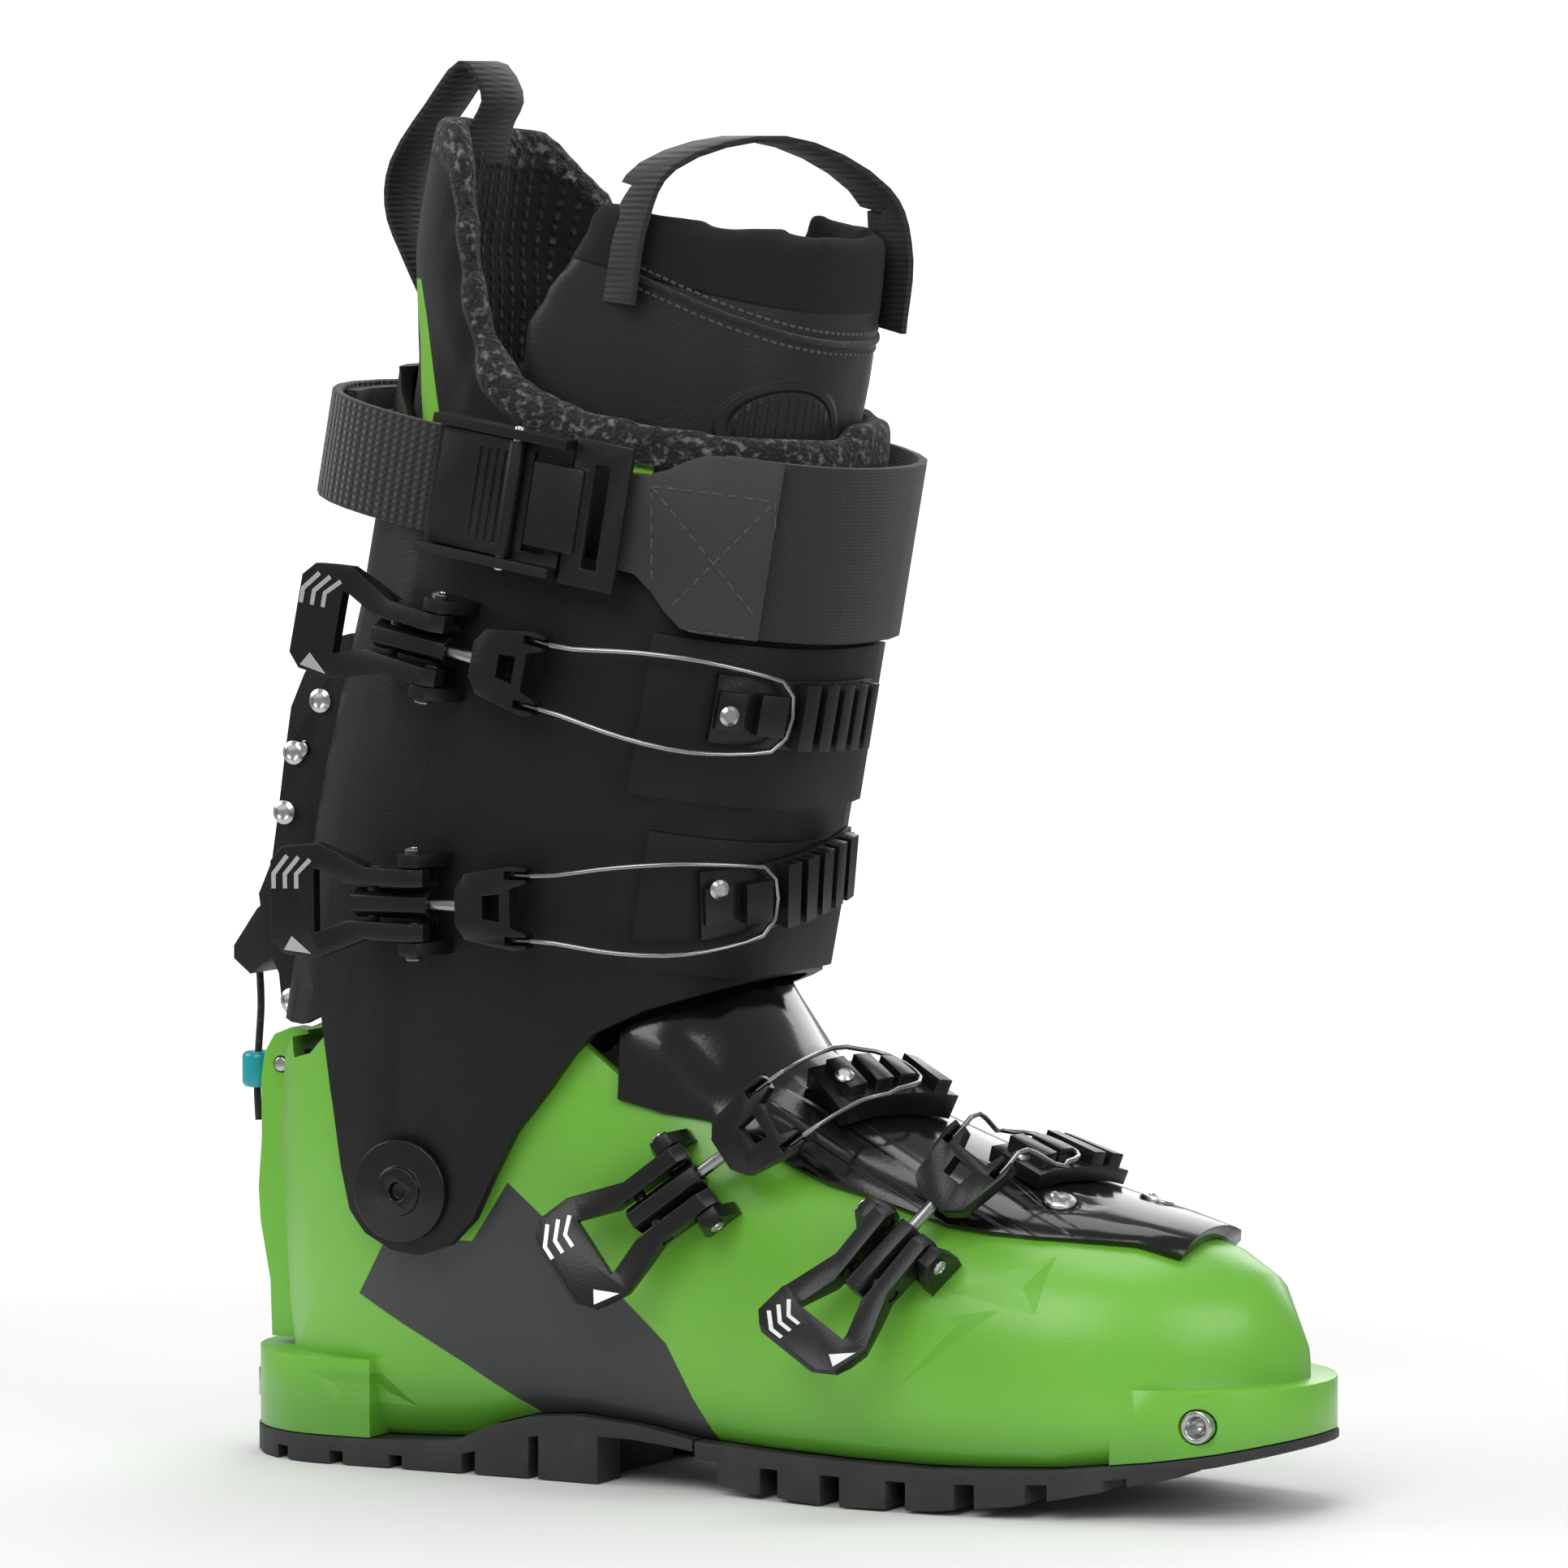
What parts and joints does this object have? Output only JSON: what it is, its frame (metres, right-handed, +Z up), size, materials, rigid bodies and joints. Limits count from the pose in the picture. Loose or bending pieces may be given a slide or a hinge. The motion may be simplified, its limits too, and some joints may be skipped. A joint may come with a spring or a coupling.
{
  "type": "alpine touring boot",
  "caption": "Hard-shelled ski touring boot with a hinged cuff, ladder buckles, power strap, removable liner and walk lever.",
  "frame": {"origin": "on the floor under the ankle pivot, at the flat tread of the heel", "axes": "+X towards the toe, +Y to the wearer's left (the inner side of this right boot), +Z up"},
  "size_m": [0.3158, 0.1378, 0.37],
  "materials": {
    "shell_green": "satin moulded shell",
    "cuff_black": "fine moulded grain",
    "tongue_black": "gloss",
    "outsole_rubber": "matte lugged rubber",
    "insert_steel": "machined",
    "board_grey": "moulded",
    "liner_textile": "padded textile",
    "webbing_black": "woven webbing",
    "cam_black": "moulded",
    "cord_black": "braided",
    "bead_teal": "gloss",
    "buckle_black": "moulded",
    "buckle_steel": "polished"
  },
  "bodies": {
    "shell": {"lower_shell": "shell_green", "outsole_heel": "outsole_rubber", "outsole_forefoot": "outsole_rubber", "toe_insert_lateral": "insert_steel", "toe_insert_medial": "insert_steel", "heel_pin_insert": "insert_steel", "boot_board": "board_grey", "liner_foot": "liner_textile", "instep_tongue": "tongue_black", "tongue_screw_lateral": "insert_steel", "tongue_screw_medial": "insert_steel", "pivot_bolt_lateral": "buckle_black", "pivot_bolt_medial": "buckle_black", "lock_pin": "insert_steel", "ladder_toe": "buckle_black", "ladder_instep": "buckle_black", "buckle_toe_base": "buckle_black", "buckle_instep_base": "buckle_black"},
    "cuff": {"cuff": "cuff_black", "liner_collar": "liner_textile", "liner_tongue": "liner_textile", "heel_pull_loop": "webbing_black", "tongue_pull_loop": "webbing_black", "power_strap": "webbing_black", "strap_hook_tab": "webbing_black", "strap_webbing": "webbing_black", "strap_rear_pad": "webbing_black", "strap_buckle_frame": "cam_black", "strap_cam_pin": "insert_steel", "strap_hook": "cam_black", "spine_bracket": "cuff_black", "walk_pin": "insert_steel", "ladder_cuff_lower": "buckle_black", "ladder_cuff_upper": "buckle_black", "buckle_cuff_lower_base": "buckle_black", "buckle_cuff_upper_base": "buckle_black"},
    "walk_lever": {"walk_lever": "cam_black", "pull_cord": "cord_black", "cord_bead": "bead_teal"},
    "strap_cam": {"strap_cam_lever": "cam_black"},
    "toe_lever": {"buckle_toe_lever": "buckle_black"},
    "toe_link": {"buckle_toe_barrel": "buckle_black", "buckle_toe_rod": "buckle_steel", "buckle_toe_yoke": "buckle_black"},
    "toe_cable": {"buckle_toe_cable": "buckle_steel"},
    "instep_lever": {"buckle_instep_lever": "buckle_black"},
    "instep_link": {"buckle_instep_barrel": "buckle_black", "buckle_instep_rod": "buckle_steel", "buckle_instep_yoke": "buckle_black"},
    "instep_cable": {"buckle_instep_cable": "buckle_steel"},
    "cuff_lower_lever": {"buckle_cuff_lower_lever": "buckle_black"},
    "cuff_lower_link": {"buckle_cuff_lower_barrel": "buckle_black", "buckle_cuff_lower_rod": "buckle_steel", "buckle_cuff_lower_yoke": "buckle_black"},
    "cuff_lower_cable": {"buckle_cuff_lower_cable": "buckle_steel"},
    "cuff_upper_lever": {"buckle_cuff_upper_lever": "buckle_black"},
    "cuff_upper_link": {"buckle_cuff_upper_barrel": "buckle_black", "buckle_cuff_upper_rod": "buckle_steel", "buckle_cuff_upper_yoke": "buckle_black"},
    "cuff_upper_cable": {"buckle_cuff_upper_cable": "buckle_steel"}
  },
  "joints": [
    {"name": "cuff_pivot", "type": "hinge", "parent": "shell", "child": "cuff", "pos_m": [0, 0, 0.076], "axis": [0, 1, 0], "range_deg": [-30, 6]},
    {"name": "walk_lever_pivot", "type": "hinge", "parent": "cuff", "child": "walk_lever", "pos_m": [-0.0475, 0, 0.188], "axis": [0, 1, 0], "range_deg": [0, 50]},
    {"name": "strap_cam_pivot", "type": "hinge", "parent": "cuff", "child": "strap_cam", "pos_m": [0.04018, -0.0685, 0.25778], "axis": [0.1736, 0, 0.9848], "range_deg": [0, 75]},
    {"name": "toe_lever_pivot", "type": "hinge", "parent": "shell", "child": "toe_lever", "pos_m": [0.14268, -0.0506, 0.07087], "axis": [-0.8534, 0.1788, 0.4897], "range_deg": [0, 100]},
    {"name": "toe_link_pivot", "type": "hinge", "parent": "toe_lever", "child": "toe_link", "pos_m": [0.13592, -0.05595, 0.06103], "axis": [-0.8534, 0.1788, 0.4897], "range_deg": [-100, 0]},
    {"name": "toe_cable_pivot", "type": "hinge", "parent": "toe_link", "child": "toe_cable", "pos_m": [0.15695, -0.03628, 0.0905], "axis": [-0.8534, 0.1788, 0.4897], "range_deg": [-100, 0]},
    {"name": "instep_lever_pivot", "type": "hinge", "parent": "shell", "child": "instep_lever", "pos_m": [0.0816, -0.04933, 0.08194], "axis": [-0.6131, 0.0528, 0.7882], "range_deg": [0, 100]},
    {"name": "instep_link_pivot", "type": "hinge", "parent": "instep_lever", "child": "instep_link", "pos_m": [0.07131, -0.05116, 0.07406], "axis": [-0.6131, 0.0528, 0.7882], "range_deg": [-100, 0]},
    {"name": "instep_cable_pivot", "type": "hinge", "parent": "instep_link", "child": "instep_cable", "pos_m": [0.10366, -0.04498, 0.09881], "axis": [-0.6131, 0.0528, 0.7882], "range_deg": [-100, 0]},
    {"name": "cuff_lower_lever_pivot", "type": "hinge", "parent": "cuff", "child": "cuff_lower_lever", "pos_m": [0.00905, -0.06314, 0.15182], "axis": [0, -0.0184, 0.9998], "range_deg": [0, 100]},
    {"name": "cuff_lower_link_pivot", "type": "hinge", "parent": "cuff_lower_lever", "child": "cuff_lower_link", "pos_m": [-0.00384, -0.06092, 0.15186], "axis": [0, -0.0184, 0.9998], "range_deg": [-100, 0]},
    {"name": "cuff_lower_cable_pivot", "type": "hinge", "parent": "cuff_lower_link", "child": "cuff_lower_cable", "pos_m": [0.03735, -0.06099, 0.15185], "axis": [0, -0.0184, 0.9998], "range_deg": [-100, 0]},
    {"name": "cuff_upper_lever_pivot", "type": "hinge", "parent": "cuff", "child": "cuff_upper_lever", "pos_m": [0.01492, -0.06387, 0.21848], "axis": [0.199, -0.0132, 0.9799], "range_deg": [0, 100]},
    {"name": "cuff_upper_link_pivot", "type": "hinge", "parent": "cuff_upper_lever", "child": "cuff_upper_link", "pos_m": [0.00246, -0.06079, 0.22105], "axis": [0.199, -0.0132, 0.9799], "range_deg": [-100, 0]},
    {"name": "cuff_upper_cable_pivot", "type": "hinge", "parent": "cuff_upper_link", "child": "cuff_upper_cable", "pos_m": [0.04276, -0.06327, 0.21283], "axis": [0.199, -0.0132, 0.9799], "range_deg": [-100, 0]}
  ],
  "couplings": [
    {"joint": "toe_link_pivot", "follows": "toe_lever_pivot", "ratio": -1},
    {"joint": "toe_cable_pivot", "follows": "toe_lever_pivot", "ratio": -1},
    {"joint": "instep_link_pivot", "follows": "instep_lever_pivot", "ratio": -1},
    {"joint": "instep_cable_pivot", "follows": "instep_lever_pivot", "ratio": -1},
    {"joint": "cuff_lower_link_pivot", "follows": "cuff_lower_lever_pivot", "ratio": -1},
    {"joint": "cuff_lower_cable_pivot", "follows": "cuff_lower_lever_pivot", "ratio": -1},
    {"joint": "cuff_upper_link_pivot", "follows": "cuff_upper_lever_pivot", "ratio": -1},
    {"joint": "cuff_upper_cable_pivot", "follows": "cuff_upper_lever_pivot", "ratio": -1}
  ]
}
